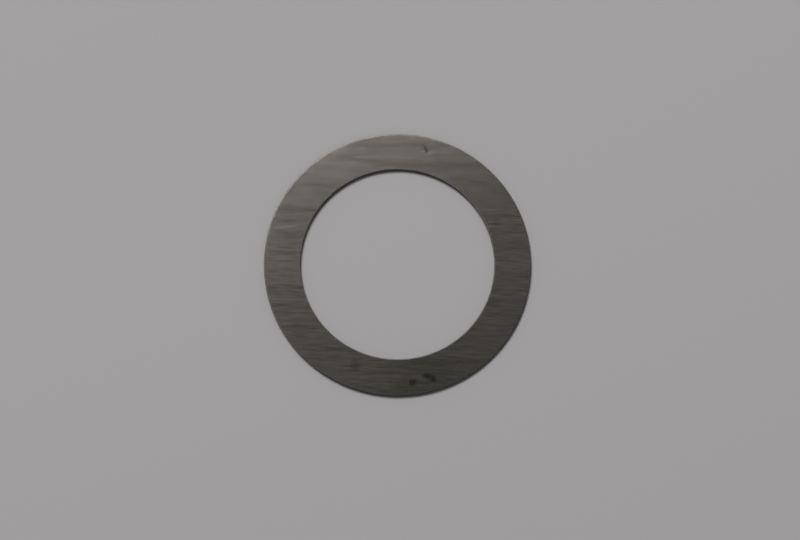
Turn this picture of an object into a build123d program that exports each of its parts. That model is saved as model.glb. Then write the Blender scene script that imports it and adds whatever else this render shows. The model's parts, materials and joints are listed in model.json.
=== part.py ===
from build123d import *

import os

# A shim ring: one flat ring, punched in a single stroke from hard rolled spring steel strip.
# It slips over a shaft inside a housing and takes up the end play beside a bearing or a gear.
#
# Frame, in millimetres: the ring lies on its underside, the face that the punch broke out of,
# +Z runs up through the bore, and the origin is the centre of the underside.

# What the ring fits: the shaft that it slips over and the housing that it drops into.
SHAFT_DIAMETER = 20.0
HOUSING_DIAMETER = 28.0

# Play on the diameter: the middle of the usual limits for a ring of this size, which are
# 0.065 to 0.275 both over the shaft and under the housing.
BORE_CLEARANCE = 0.17
RIM_CLEARANCE = 0.17

THICKNESS = 0.50

# How punched strip parts, from the top face down. The steel first rolls in under the die's
# edge, then shears clean as a polished land, and last tears away. How deep each zone goes is
# the steel's own share of the strip's thickness, not a size that the toolmaker sets.
DIE_ROLL_SHARE = 0.12
LAND_SHARE = 0.38

# How far the rolled-in edge reaches across the top face.
DIE_ROLL_WIDTH = 0.08

# The gap between punch and die on each side, by which the torn zone leans back into the ring.
PUNCH_GAP = 0.025

# Tumbling takes the burr off and rounds the lower edges.
TUMBLED_RADIUS = 0.03


def sheared_wall(radius, into_ring):
    """The section of one punched wall in the XZ plane, from the top face to the underside.

    radius is that of the polished land, and into_ring is +1 on the bore's wall and -1 on
    the rim's, the way along X in which the steel lies.
    """
    roll_depth = THICKNESS * DIE_ROLL_SHARE
    land_top = THICKNESS - roll_depth
    land_foot = land_top - THICKNESS * LAND_SHARE
    torn_foot = radius + into_ring * PUNCH_GAP
    # An arc that starts at 90 degrees and turns this way ends on the wall.
    turn = into_ring * 90

    die_roll = EllipticalCenterArc(
        (radius + into_ring * DIE_ROLL_WIDTH, land_top),
        DIE_ROLL_WIDTH,
        roll_depth,
        start_angle=90,
        arc_size=turn,
    )
    land = Line((radius, land_top), (radius, land_foot))
    torn_zone = Line((radius, land_foot), (torn_foot, TUMBLED_RADIUS))
    tumbled_edge = CenterArc(
        (torn_foot + into_ring * TUMBLED_RADIUS, TUMBLED_RADIUS),
        TUMBLED_RADIUS,
        start_angle=90 + turn,
        arc_size=turn,
    )
    return [die_roll, land, torn_zone, tumbled_edge]


def shim_ring():
    """The whole ring: its section between bore and rim, turned about the bore's axis."""
    bore_radius = (SHAFT_DIAMETER + BORE_CLEARANCE) / 2
    rim_radius = (HOUSING_DIAMETER - RIM_CLEARANCE) / 2
    bore_wall = sheared_wall(bore_radius, into_ring=+1)
    rim_wall = sheared_wall(rim_radius, into_ring=-1)
    top_face = Line(bore_wall[0] @ 0, rim_wall[0] @ 0)
    underside = Line(bore_wall[-1] @ 1, rim_wall[-1] @ 1)
    section = make_face([*bore_wall, underside, *rim_wall, top_face])
    return revolve(Plane.XZ * section, axis=Axis.Z)


os.makedirs("parts", exist_ok=True)
ring = shim_ring()
ring.label = "shim_ring"
export_step(ring, "parts/shim_ring.step")
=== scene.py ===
import json
import math

import bpy
import numpy as np
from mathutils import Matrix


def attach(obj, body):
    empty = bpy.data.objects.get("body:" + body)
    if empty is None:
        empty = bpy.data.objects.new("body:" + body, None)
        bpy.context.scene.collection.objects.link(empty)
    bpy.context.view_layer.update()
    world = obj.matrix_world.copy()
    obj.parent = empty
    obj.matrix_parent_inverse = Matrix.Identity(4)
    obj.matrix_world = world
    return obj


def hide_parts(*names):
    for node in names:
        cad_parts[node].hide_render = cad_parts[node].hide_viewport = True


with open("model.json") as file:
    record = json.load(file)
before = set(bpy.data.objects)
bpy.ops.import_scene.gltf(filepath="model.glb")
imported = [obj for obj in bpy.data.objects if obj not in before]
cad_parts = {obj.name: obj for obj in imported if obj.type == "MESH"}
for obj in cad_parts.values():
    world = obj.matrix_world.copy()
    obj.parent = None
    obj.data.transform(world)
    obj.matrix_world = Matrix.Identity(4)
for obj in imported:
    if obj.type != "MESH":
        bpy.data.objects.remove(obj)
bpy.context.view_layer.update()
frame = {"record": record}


# ---- The ring's body ----
# One flat ring of hard rolled spring steel strip, cut from it in a single stroke of a compound
# die, so bore and rim are sheared alike: rolled in at the top, polished below, then torn.
# It was tumbled afterwards, which took off the burr and rounded the lower edges.

MM = 0.001

mounts = {mount["name"]: mount for mount in frame["record"]["mounts"]}
BORE_RADIUS = mounts["bore"]["dims"]["r_mm"] * MM
RIM_RADIUS = mounts["rim"]["dims"]["r_mm"] * MM
THICKNESS = mounts["top_face"]["pos_m"][2]

DIE_ROLL_DEPTH = 0.12 * THICKNESS
DIE_ROLL_WIDTH = 0.08 * MM
LAND_HEIGHT = 0.38 * THICKNESS
PUNCH_GAP = 0.025 * MM
TUMBLED_RADIUS = 0.03 * MM

# How far the foot of the land wanders up and down, between which numbers of waves to a turn,
# and how deep the torn grains are.
LAND_WANDER = 0.020 * MM
LAND_WAVES = (9, 160)
TORN_DEPTH = 0.006 * MM

# A knock left a nick in the top face, near the rim. It is a short comma, wider and deeper at
# its lower end.
NICK_TOP = (1.79 * MM, 12.90 * MM)
NICK_FOOT = (2.19 * MM, 12.16 * MM)
NICK_DEPTH = 0.005 * MM
NICK_HALF_WIDTH = 0.08 * MM
NICK_WIDENING = 0.05 * MM

# Strips of faces round the ring, and across its top face and its underside.
ROUND_STEPS = 900
TOP_STEPS = 52
UNDERSIDE_STEPS = 9


def wander(turn, cycles, seed):
    """A wavering line round the ring, between -1 and 1.

    It is a sum of cosines of the angle, one for each number of cycles in the range given,
    with phases drawn at random and strengths that fall with the square root of the cycles.
    The sum is divided by its own largest swing.
    """
    draw = np.random.default_rng(seed)
    counts = np.arange(*cycles)
    phases = draw.uniform(0.0, 2.0 * np.pi, len(counts))
    strengths = draw.uniform(0.3, 1.0, len(counts)) / np.sqrt(counts)
    waves = np.cos(np.outer(turn, counts) + phases) @ strengths
    return waves / np.abs(waves).max()


def torn_grain(turn, height, seed):
    """Torn steel, as a depth from 0 to 1 for each angle and height.

    It is the square of a sum of 40 cosines whose crests slant at random across the wall, so
    that broad flats lie between narrow pits. The sum is divided by 12, a swing that it seldom
    passes, and cut off at 1.
    """
    waves = 40
    full_swing = 12.0
    draw = np.random.default_rng(seed)
    around = draw.integers(60, 420, waves)
    up = draw.uniform(-60.0, 60.0, waves) / MM
    phases = draw.uniform(0.0, 2.0 * np.pi, waves)
    total = np.cos(turn[..., None] * around + height[..., None] * up + phases).sum(axis=-1)
    return np.clip(total / full_swing, -1.0, 1.0) ** 2


def sheared_wall(turn, seed):
    """The section of one punched wall at every angle, from the top face to the underside.

    Returns inset, height and torn, each an array of angles by steps. inset is how far the
    steel stands back from the land. From the top down the wall is a quarter of an ellipse,
    a plumb line, a line that leans back by the punch's gap, and a quarter of a circle. torn
    is 0 on what was rolled in or cut clean and 1 on what was torn. It is 0.6 on the lower
    edge, which tumbling rubbed down.
    """
    # Added to a row of values, this column repeats the row at every angle.
    every_turn = np.zeros((len(turn), 1))
    quarter = np.linspace(0.0, np.pi / 2, 7)
    land_top = THICKNESS - DIE_ROLL_DEPTH
    roll_inset = DIE_ROLL_WIDTH * (1.0 - np.sin(quarter)) + every_turn
    roll_height = THICKNESS - DIE_ROLL_DEPTH * (1.0 - np.cos(quarter)) + every_turn

    foot = land_top - LAND_HEIGHT + LAND_WANDER * wander(turn, LAND_WAVES, seed)[:, None]
    land_height = land_top + (foot - land_top) * np.linspace(0.0, 1.0, 4)[1:]

    torn_share = np.linspace(0.0, 1.0, 7)[1:]
    torn_height = foot + (TUMBLED_RADIUS - foot) * torn_share
    pits = torn_grain(turn[:, None], torn_height, seed + 1)
    torn_inset = PUNCH_GAP * torn_share + TORN_DEPTH * pits * np.sin(np.pi * torn_share)

    rounding = np.linspace(0.0, np.pi / 2, 5)[1:]
    edge_inset = PUNCH_GAP + TUMBLED_RADIUS * (1.0 - np.cos(rounding)) + every_turn
    edge_height = TUMBLED_RADIUS * (1.0 - np.sin(rounding)) + every_turn

    inset = np.hstack([roll_inset, np.zeros_like(land_height), torn_inset, edge_inset])
    height = np.hstack([roll_height, land_height, torn_height, edge_height])
    torn = np.hstack(
        [
            np.zeros_like(roll_inset),
            np.zeros_like(land_height),
            np.ones_like(torn_inset),
            np.full_like(edge_inset, 0.6),
        ]
    )
    return inset, height, torn


def across(start, end, steps):
    """Radii from one edge of a face to the other, evenly spaced, which make steps strips.

    The two edges themselves are left out, because the walls hold them. The first radius and
    the last lie close beside them instead, so that the face is flat right up to where its
    rounded edge begins.
    """
    beside = 0.003
    share = np.linspace(0.0, 1.0, steps - 1)
    share[0] = beside
    share[-1] = 1.0 - beside
    return start + (end - start) * share


def nick_depth(x, y):
    """How deep the nick is at each point of the top face, as a share of its greatest depth.

    It is a groove along the line from the nick's top to its foot, with a cross-section like
    a bell curve. Its half width and its depth both grow from the top to the foot.
    """
    run_x = NICK_FOOT[0] - NICK_TOP[0]
    run_y = NICK_FOOT[1] - NICK_TOP[1]
    share = ((x - NICK_TOP[0]) * run_x + (y - NICK_TOP[1]) * run_y) / (run_x**2 + run_y**2)
    share = np.clip(share, 0.0, 1.0)
    aside = np.hypot(x - NICK_TOP[0] - share * run_x, y - NICK_TOP[1] - share * run_y)
    half_width = NICK_HALF_WIDTH + NICK_WIDENING * share
    return (0.5 + 0.5 * share) * np.exp(-((aside / half_width) ** 2))


def ring_mesh(name):
    """The closed skin of the ring, on a grid of angle by place along its section.

    The section runs out over the top face, down the rim, in under the ring and up the
    bore. A point at angle a, radius r and height h is at (r cos a, r sin a, h).
    """
    turn = np.linspace(0.0, 2.0 * np.pi, ROUND_STEPS, endpoint=False)
    rim_inset, rim_height, rim_torn = sheared_wall(turn, seed=3)
    bore_inset, bore_height, bore_torn = sheared_wall(turn, seed=8)
    rim = RIM_RADIUS - rim_inset
    bore = BORE_RADIUS + bore_inset

    top = across(bore[:, :1], rim[:, :1], TOP_STEPS)
    under = across(rim[:, -1:], bore[:, -1:], UNDERSIDE_STEPS)
    radius = np.hstack([top, rim, under, bore[:, ::-1]])
    top_height = np.full_like(top, THICKNESS)
    height = np.hstack([top_height, rim_height, np.zeros_like(under), bore_height[:, ::-1]])
    torn = np.hstack([np.zeros_like(top), rim_torn, np.zeros_like(under), bore_torn[:, ::-1]])

    x = radius * np.cos(turn)[:, None]
    y = radius * np.sin(turn)[:, None]
    on_top = height > 0.99 * THICKNESS
    nick = nick_depth(x, y) * on_top
    height = height - NICK_DEPTH * nick

    around, along = radius.shape
    index = np.arange(around * along).reshape(around, along)
    next_turn = np.roll(index, -1, axis=0)
    next_step = np.roll(index, -1, axis=1)
    next_both = np.roll(next_turn, -1, axis=1)
    quads = np.stack([index, next_step, next_both, next_turn], axis=-1).reshape(-1, 4)

    # The finish of each strip of quads along the section: 0 top, 1 walls, 2 underside.
    finish = np.full(along, 1, dtype=np.int32)
    finish[: top.shape[1]] = 0
    finish[-1] = 0
    under_start = top.shape[1] + rim.shape[1] - 1
    finish[under_start : under_start + under.shape[1] + 1] = 2

    mesh = bpy.data.meshes.new(name)
    corners = np.stack([x, y, height], axis=-1).reshape(-1, 3)
    mesh.from_pydata(corners.tolist(), [], quads.tolist())
    mesh.polygons.foreach_set("material_index", np.tile(finish, around))
    mesh.shade_smooth()
    mesh.attributes.new("torn", "FLOAT", "POINT").data.foreach_set("value", torn.ravel())
    mesh.attributes.new("nick", "FLOAT", "POINT").data.foreach_set("value", nick.ravel())
    return mesh


ring = bpy.data.objects.new("ring_body", ring_mesh("ring_body"))
bpy.context.scene.collection.objects.link(ring)
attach(ring, "root")
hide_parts("shim_ring")


# ---- What the rolls and the shop left on the strip ----
# The mill's rolls mark cold rolled strip with long straight streaks that all run one way, from
# hair lines to bands a millimetre wide. Handling adds small round oil stains.

def node_group(name, inputs, output):
    """An empty shader node group: the group, its input node and its output node."""
    group = bpy.data.node_groups.new(name, "ShaderNodeTree")
    for socket, kind in inputs:
        group.interface.new_socket(socket, in_out="INPUT", socket_type=kind)
    group.interface.new_socket(output, in_out="OUTPUT", socket_type="NodeSocketFloat")
    return group, group.nodes.new("NodeGroupInput"), group.nodes.new("NodeGroupOutput")


def feed(tree, socket, source):
    """Feeds one socket, from another node's output or with a plain value."""
    if isinstance(source, bpy.types.NodeSocket):
        tree.links.new(source, socket)
    else:
        socket.default_value = source


def node(tree, kind, **sources):
    """A new node of the kind given, with its inputs fed by name. An underscore is a space."""
    made = tree.nodes.new(kind)
    for name, source in sources.items():
        feed(tree, made.inputs[name.replace("_", " ")], source)
    return made


def maths(tree, operation, *terms, clamp=False):
    """The result of one Math node, fed in order."""
    made = tree.nodes.new("ShaderNodeMath")
    made.operation = operation
    made.use_clamp = clamp
    for socket, term in zip(made.inputs, terms):
        feed(tree, socket, term)
    return made.outputs[0]


def smooth_ramp(tree, value, low, high, start, end):
    """value brought smoothly from the range low to high into the range start to end."""
    made = tree.nodes.new("ShaderNodeMapRange")
    made.interpolation_type = "SMOOTHSTEP"
    for socket, source in zip(made.inputs, (value, low, high, start, end)):
        feed(tree, socket, source)
    return made.outputs["Result"]


def rolling_grain_group():
    """Streaks that all run along X, as a tone from -1 to 1.

    It is cloudy noise read at the place divided by the streaks' length along X and by their
    width along Y, so that each blot of the noise becomes one streak. The noise, which lies
    round a half, is then drawn out to four times its range and cut off at -1 and 1.
    """
    group, given, result = node_group(
        "Rolling grain",
        [
            ("Place", "NodeSocketVector"),
            ("Length", "NodeSocketFloat"),
            ("Width", "NodeSocketFloat"),
            ("Shift", "NodeSocketFloat"),
        ],
        "Tone",
    )
    place = node(group, "ShaderNodeSeparateXYZ", Vector=given.outputs["Place"])
    squeezed = node(
        group,
        "ShaderNodeCombineXYZ",
        X=maths(group, "DIVIDE", place.outputs["X"], given.outputs["Length"]),
        Y=maths(group, "DIVIDE", place.outputs["Y"], given.outputs["Width"]),
        Z=given.outputs["Shift"],
    )
    cloud = node(
        group,
        "ShaderNodeTexNoise",
        Vector=squeezed.outputs["Vector"],
        Scale=1.0,
        Detail=2.0,
        Roughness=0.55,
    )
    tone = maths(group, "MULTIPLY_ADD", cloud.outputs["Fac"], 4.0, -2.0)
    tone = maths(group, "MINIMUM", tone, 1.0)
    tone = maths(group, "MAXIMUM", tone, -1.0)
    feed(group, result.inputs["Tone"], tone)
    return group


def roll_mark_group():
    """One long mark that runs nearly along X, as a mask from 0 to 1.

    The mask is a bell curve of the distance along Y from a line that sways by up to a fifth
    of a millimetre, and it fades out over a millimetre at the mark's two ends.
    """
    group, given, result = node_group(
        "Roll mark",
        [
            ("Place", "NodeSocketVector"),
            ("Offset", "NodeSocketFloat"),
            ("Half Width", "NodeSocketFloat"),
            ("Slope", "NodeSocketFloat"),
            ("Start", "NodeSocketFloat"),
            ("End", "NodeSocketFloat"),
        ],
        "Mask",
    )
    place = node(group, "ShaderNodeSeparateXYZ", Vector=given.outputs["Place"])
    along = place.outputs["X"]
    cloud = node(group, "ShaderNodeTexNoise", Vector=given.outputs["Place"], Scale=0.5, Detail=1.0)
    sway = maths(group, "SUBTRACT", cloud.outputs["Fac"], 0.5)
    line = maths(group, "MULTIPLY_ADD", along, given.outputs["Slope"], given.outputs["Offset"])
    line = maths(group, "MULTIPLY_ADD", sway, 0.4, line)

    away = maths(group, "SUBTRACT", place.outputs["Y"], line)
    away = maths(group, "DIVIDE", away, given.outputs["Half Width"])
    squared = maths(group, "MULTIPLY", away, away)
    bell = maths(group, "EXPONENT", maths(group, "MULTIPLY", squared, -1.0))
    start = maths(group, "SUBTRACT", along, given.outputs["Start"], clamp=True)
    end = maths(group, "SUBTRACT", given.outputs["End"], along, clamp=True)
    mask = maths(group, "MULTIPLY", bell, maths(group, "MULTIPLY", start, end))
    feed(group, result.inputs["Mask"], mask)
    return group


def soft_blot_group():
    """One blot with a soft ragged edge, as a mask from 0 outside it to 1 in its middle.

    The distance from the blot's centre, as a share of its radius, has cloudy noise added to
    it before it is turned into the mask.
    """
    group, given, result = node_group(
        "Soft blot",
        [
            ("Place", "NodeSocketVector"),
            ("Centre", "NodeSocketVector"),
            ("Radius", "NodeSocketFloat"),
            ("Raggedness", "NodeSocketFloat"),
        ],
        "Mask",
    )
    apart = group.nodes.new("ShaderNodeVectorMath")
    apart.operation = "DISTANCE"
    feed(group, apart.inputs[0], given.outputs["Place"])
    feed(group, apart.inputs[1], given.outputs["Centre"])
    cloud = node(group, "ShaderNodeTexNoise", Vector=given.outputs["Place"], Scale=3.0, Detail=3.0)
    share = maths(group, "DIVIDE", apart.outputs["Value"], given.outputs["Radius"])
    uneven = maths(group, "SUBTRACT", cloud.outputs["Fac"], 0.5)
    share = maths(group, "MULTIPLY_ADD", uneven, given.outputs["Raggedness"], share)
    feed(group, result.inputs["Mask"], smooth_ramp(group, share, 0.1, 1.0, 1.0, 0.0))
    return group


rolling_grain = rolling_grain_group()
roll_mark = roll_mark_group()
soft_blot = soft_blot_group()


def place_group(tree, group, **values):
    """Places a node group in a material with the values given, and returns its output."""
    made = tree.nodes.new("ShaderNodeGroup")
    made.node_tree = group
    for name, source in values.items():
        feed(tree, made.inputs[name.replace("_", " ")], source)
    return made.outputs[0]


def new_steel(name):
    """A metal material: itself, its tree, its shader and the place on the ring in millimetres."""
    material = bpy.data.materials.new(name)
    material.use_nodes = True
    tree = material.node_tree
    shader = tree.nodes["Principled BSDF"]
    shader.inputs["Metallic"].default_value = 1.0
    place = tree.nodes.new("ShaderNodeTexCoord")
    in_mm = tree.nodes.new("ShaderNodeVectorMath")
    in_mm.operation = "SCALE"
    in_mm.inputs["Scale"].default_value = 1.0 / MM
    feed(tree, in_mm.inputs[0], place.outputs["Object"])
    return material, tree, shader, in_mm.outputs["Vector"]


def blend(tree, share, first, second):
    """The colour that lies the given share of the way from the first to the second."""
    made = tree.nodes.new("ShaderNodeMix")
    made.data_type = "RGBA"
    # A Mix node has sockets for every kind of data: its colours go in at 6 and 7, out at 2.
    feed(tree, made.inputs[0], share)
    feed(tree, made.inputs[6], first)
    feed(tree, made.inputs[7], second)
    return made.outputs[2]


def attribute(tree, name):
    """The value that the ring's mesh carries under the name given."""
    made = tree.nodes.new("ShaderNodeAttribute")
    made.attribute_name = name
    return made.outputs["Fac"]


def emboss(tree, shader, height, depth):
    """Gives a surface the fine relief of a height, one unit of which stands depth metres high."""
    bump = node(tree, "ShaderNodeBump", Strength=1.0, Distance=depth, Height=height)
    feed(tree, shader.inputs["Normal"], bump.outputs["Normal"])


# ---- The top face ----
# Dull grey rolled steel. Long streaks cross it from left to right, clearest on its left side,
# and a few dark stains lie at its near edge.

# The strip went under the die a little askew, so the streaks aren't quite along X.
ASKEW = -math.radians(2.5)

# Single marks, in millimetres: offset across the grain, half width, slope, start and end along
# the grain, and how dark. A mark with a negative darkness is a bright one.
ROLL_MARKS = (
    (12.55, 0.22, 0.0, -4.5, 1.5, 0.10),
    (11.45, 0.45, -0.03, -5.0, 2.0, -0.14),
    (10.48, 0.16, -0.12, -6.5, 0.0, 0.26),
    (10.44, 0.14, -0.02, -3.5, 1.2, 0.22),
    (6.30, 0.40, 0.0, -14.0, -6.5, -0.14),
    (5.42, 0.14, 0.0, -14.0, -7.0, 0.20),
    (3.85, 0.25, 0.0, -14.0, -8.0, -0.10),
    (2.72, 0.35, 0.0, -14.0, -8.5, 0.18),
    (0.75, 0.28, 0.0, -14.0, -9.0, 0.10),
    (-1.00, 0.70, 0.0, -14.0, -9.0, -0.16),
    (-2.86, 0.34, 0.01, -14.0, -8.5, 0.20),
    (-4.10, 0.26, 0.0, -14.0, -8.0, -0.14),
    (-4.96, 0.14, 0.0, -14.0, -7.5, 0.26),
    (-5.50, 0.20, 0.0, -14.0, -7.0, -0.14),
    (-7.00, 0.32, 0.0, -13.0, -6.0, 0.24),
    (4.99, 0.25, 0.0, 10.0, 14.0, -0.20),
)

# Stains and wide darkenings, in millimetres: centre, radius and strength. The dark stains lie at
# the near side, with faint smears round them. The last two are wide faint darkenings: the one at
# the lower right is painted shade, standing in for the darker reflection there, and the other
# darkens the upper left a little.
STAINS_AND_SHADE = (
    (2.55, -12.40, 0.75, 0.74),
    (1.80, -12.15, 0.75, 0.28),
    (4.00, -11.62, 0.78, 0.78),
    (4.62, -11.85, 0.66, 0.76),
    (4.30, -11.75, 1.20, 0.40),
    (5.30, -11.15, 0.70, 0.25),
    (-3.45, -11.05, 0.85, 0.34),
    (9.90, 5.15, 0.75, 0.26),
    # Painted shade: a wide darkening that stands in for the darker reflection on the lower right.
    (4.20, -11.60, 7.00, 0.22),
    (-9.80, 6.80, 7.00, 0.12),
)


def top_face():
    """The top face's steel: streaks, single long marks, stains, nick grime and painted shade."""
    material, tree, shader, place = new_steel("Rolled steel, top face")
    light = (0.244, 0.226, 0.205, 1.0)
    dark = (0.155, 0.144, 0.130, 1.0)
    # Nick and stains blend towards this colour, and so does the painted shade at the lower right.
    grime_and_shade = (0.040, 0.037, 0.034, 1.0)

    askew = tree.nodes.new("ShaderNodeVectorRotate")
    askew.rotation_type = "Z_AXIS"
    askew.inputs["Angle"].default_value = ASKEW
    feed(tree, askew.inputs["Vector"], place)
    strip = askew.outputs["Vector"]

    # Broad bands, and hair lines that stand out more. A tone above 0 is darker than the mean.
    broad = place_group(tree, rolling_grain, Place=strip, Length=10.0, Width=0.65, Shift=1.0)
    fine = place_group(tree, rolling_grain, Place=strip, Length=1.8, Width=0.17, Shift=5.0)
    tone = maths(tree, "MULTIPLY", broad, 0.26)
    tone = maths(tree, "MULTIPLY_ADD", fine, 0.40, tone)
    for offset, half_width, slope, start, end, darkness in ROLL_MARKS:
        mark = place_group(
            tree,
            roll_mark,
            Place=strip,
            Offset=offset,
            Half_Width=half_width,
            Slope=slope,
            Start=start,
            End=end,
        )
        tone = maths(tree, "MULTIPLY_ADD", mark, darkness, tone)
    colour = blend(tree, maths(tree, "ADD", tone, 0.5, clamp=True), light, dark)

    # Dirt fills the nick and lies in the stains, and the wide darkening at the lower right is
    # painted shade. Where two overlap, the darker one shows.
    dirt_and_shade = maths(tree, "MULTIPLY", attribute(tree, "nick"), 1.1, clamp=True)
    for x, y, radius, strength in STAINS_AND_SHADE:
        centre = (x, y, THICKNESS / MM)
        blot = place_group(tree, soft_blot, Place=place, Centre=centre, Radius=radius, Raggedness=0.9)
        dirt_and_shade = maths(tree, "MAXIMUM", dirt_and_shade, maths(tree, "MULTIPLY", blot, strength))
    feed(tree, shader.inputs["Base Color"], blend(tree, dirt_and_shade, colour, grime_and_shade))

    # The rougher streaks catch more of the window, so they are the paler ones.
    feed(tree, shader.inputs["Roughness"], maths(tree, "MULTIPLY_ADD", tone, -0.012, 0.112))
    emboss(tree, shader, fine, 0.0002 * MM)
    return material


ring.data.materials.append(top_face())


# ---- The walls of bore and rim ----
# As the die left them, under a film of old oil: the rolled-in edge and the land are burnished,
# with scuffs that run with the stroke, and the torn zone below is a dull crystalline break.
# Their colours are darker than such steel is, as painted shade along the bore and the rim.

def sheared_walls():
    """The walls' steel: upright scuffs where it was cut, dull grain where it tore."""
    material, tree, shader, place = new_steel("Rolled steel, sheared walls")
    # Painted shade: these colours are darker than the steel's own, to deepen the dark line of wall
    # and shadow along the bore and the rim.
    ridge = (0.100, 0.094, 0.085, 1.0)
    groove = (0.062, 0.058, 0.053, 1.0)
    broken = (0.032, 0.030, 0.027, 1.0)

    torn = attribute(tree, "torn")
    # Noise drawn out 25 times along the stroke makes the upright scuffs: 1 on a ridge, and 0
    # in a groove.
    upright = tree.nodes.new("ShaderNodeVectorMath")
    upright.operation = "MULTIPLY"
    upright.inputs[1].default_value = (1.0, 1.0, 0.04)
    feed(tree, upright.inputs[0], place)
    scuffs = node(
        tree,
        "ShaderNodeTexNoise",
        Vector=upright.outputs["Vector"],
        Scale=14.0,
        Detail=4.0,
        Roughness=0.7,
    ).outputs["Fac"]
    grain = node(
        tree,
        "ShaderNodeTexNoise",
        Vector=place,
        Scale=30.0,
        Detail=4.0,
        Roughness=0.75,
    ).outputs["Fac"]

    cut = blend(tree, scuffs, groove, ridge)
    break_face = blend(tree, grain, broken, groove)
    feed(tree, shader.inputs["Base Color"], blend(tree, torn, cut, break_face))
    # The oil in the grooves is smoother than the ridges' bare steel. Torn steel is rougher.
    rough = maths(tree, "MULTIPLY_ADD", scuffs, 0.20, 0.34)
    feed(tree, shader.inputs["Roughness"], maths(tree, "MULTIPLY_ADD", torn, 0.30, rough))

    scuff_height = maths(tree, "MULTIPLY", scuffs, maths(tree, "SUBTRACT", 1.0, torn))
    grain_height = maths(tree, "MULTIPLY", grain, torn)
    height = maths(tree, "MULTIPLY_ADD", scuff_height, 0.3, grain_height)
    emboss(tree, shader, height, 0.01 * MM)
    return material


ring.data.materials.append(sheared_walls())


# ---- The underside ----
# The strip's other face, from the same pass through the rolls. It has streaks of its own and
# is a little duller, because it has rubbed on what it lay on.

def underside():
    """The underside's steel: the same grain from another stretch of the strip."""
    material, tree, shader, place = new_steel("Rolled steel, underside")
    light = (0.160, 0.151, 0.137, 1.0)
    dark = (0.100, 0.094, 0.086, 1.0)

    broad = place_group(tree, rolling_grain, Place=place, Length=9.0, Width=0.8, Shift=21.0)
    fine = place_group(tree, rolling_grain, Place=place, Length=3.0, Width=0.12, Shift=33.0)
    tone = maths(tree, "MULTIPLY", broad, 0.22)
    tone = maths(tree, "MULTIPLY_ADD", fine, 0.12, tone)
    colour = blend(tree, maths(tree, "ADD", tone, 0.5, clamp=True), light, dark)
    feed(tree, shader.inputs["Base Color"], colour)
    feed(tree, shader.inputs["Roughness"], maths(tree, "MULTIPLY_ADD", tone, -0.03, 0.27))
    emboss(tree, shader, fine, 0.0003 * MM)
    return material


ring.data.materials.append(underside())


# ---- The card ----
# A sheet of plain pale grey card, matt all over, on which the ring lies. Its face is a hair
# below the ring's underside, so that the two don't share one plane.

HALF_SHEET = 1.5
SHEET_TOP = -0.004 * MM

sheet_mesh = bpy.data.meshes.new("card_sheet")
sheet_mesh.from_pydata(
    [
        (-HALF_SHEET, -HALF_SHEET, SHEET_TOP),
        (HALF_SHEET, -HALF_SHEET, SHEET_TOP),
        (HALF_SHEET, HALF_SHEET, SHEET_TOP),
        (-HALF_SHEET, HALF_SHEET, SHEET_TOP),
    ],
    [],
    [(0, 1, 2, 3)],
)
card = bpy.data.materials.new("Grey card")
card.use_nodes = True
card_shader = card.node_tree.nodes["Principled BSDF"]
card_shader.inputs["Base Color"].default_value = (0.321, 0.313, 0.315, 1.0)
card_shader.inputs["Roughness"].default_value = 0.9
card_shader.inputs["Specular IOR Level"].default_value = 0.0
sheet_mesh.materials.append(card)
sheet = bpy.data.objects.new("card_sheet", sheet_mesh)
bpy.context.scene.collection.objects.link(sheet)


# ---- The light ----
# A dim room, and soft daylight from one window, high up behind the ring and to its left. The
# walls of the room are paler than its ceiling.

WALLS_LEVEL = 0.42
CEILING_LEVEL = 0.155

world = bpy.data.worlds.new("Room")
world.use_nodes = True
bpy.context.scene.world = world
room = world.node_tree
direction = room.nodes.new("ShaderNodeTexCoord")
upward = node(room, "ShaderNodeSeparateXYZ", Vector=direction.outputs["Generated"])
level = smooth_ramp(room, upward.outputs["Z"], 0.0, 0.9, WALLS_LEVEL, CEILING_LEVEL)
background = room.nodes["Background"]
background.inputs["Color"].default_value = (1.0, 0.99, 0.98, 1.0)
feed(room, background.inputs["Strength"], level)

WINDOW_DISTANCE = 1.0
WINDOW_WIDTH = 0.48
WINDOW_HEIGHT = 0.40
WINDOW_RADIANCE = 17.3


def face_ring(holder, distance, azimuth, elevation):
    """Puts a lamp or a camera on a sphere round the ring and turns it to face the centre.

    At distance d, azimuth a and elevation e its place is (d cos e cos a, d cos e sin a,
    d sin e).
    """
    turn = math.radians(azimuth)
    rise = math.radians(elevation)
    holder.location = (
        distance * math.cos(rise) * math.cos(turn),
        distance * math.cos(rise) * math.sin(turn),
        distance * math.sin(rise),
    )
    holder.rotation_mode = "QUATERNION"
    holder.rotation_quaternion = holder.location.to_track_quat("Z", "Y")
    bpy.context.scene.collection.objects.link(holder)


window_lamp = bpy.data.lights.new("Window", "AREA")
window_lamp.shape = "RECTANGLE"
window_lamp.size = WINDOW_WIDTH
window_lamp.size_y = WINDOW_HEIGHT
# A face of area A that sends out the radiance L in every direction has the power pi A L.
window_lamp.energy = math.pi * WINDOW_WIDTH * WINDOW_HEIGHT * WINDOW_RADIANCE
window = bpy.data.objects.new("Window", window_lamp)
window.visible_camera = False
face_ring(window, WINDOW_DISTANCE, azimuth=119.5, elevation=62.0)


# ---- The camera ----
# It looks down on the ring from a little in front of it and to its right, at reading distance,
# and it is aimed a little over half a millimetre off the centre of the bore.

CAMERA_DISTANCE = 0.40
AIM_X = 0.31 * MM
AIM_Y = -0.52 * MM
VIEW_WIDTH = 83.40 * MM

camera_data = bpy.data.cameras.new("Camera")
camera_data.sensor_width = 36.0
camera_data.lens = camera_data.sensor_width * CAMERA_DISTANCE / VIEW_WIDTH
camera_data.clip_start = 0.01
camera_data.clip_end = 10.0
camera = bpy.data.objects.new("Camera", camera_data)
face_ring(camera, CAMERA_DISTANCE, azimuth=-85.5, elevation=78.1)
camera.location.x += AIM_X
camera.location.y += AIM_Y
bpy.context.scene.camera = camera
bpy.context.scene.view_settings.view_transform = "Standard"
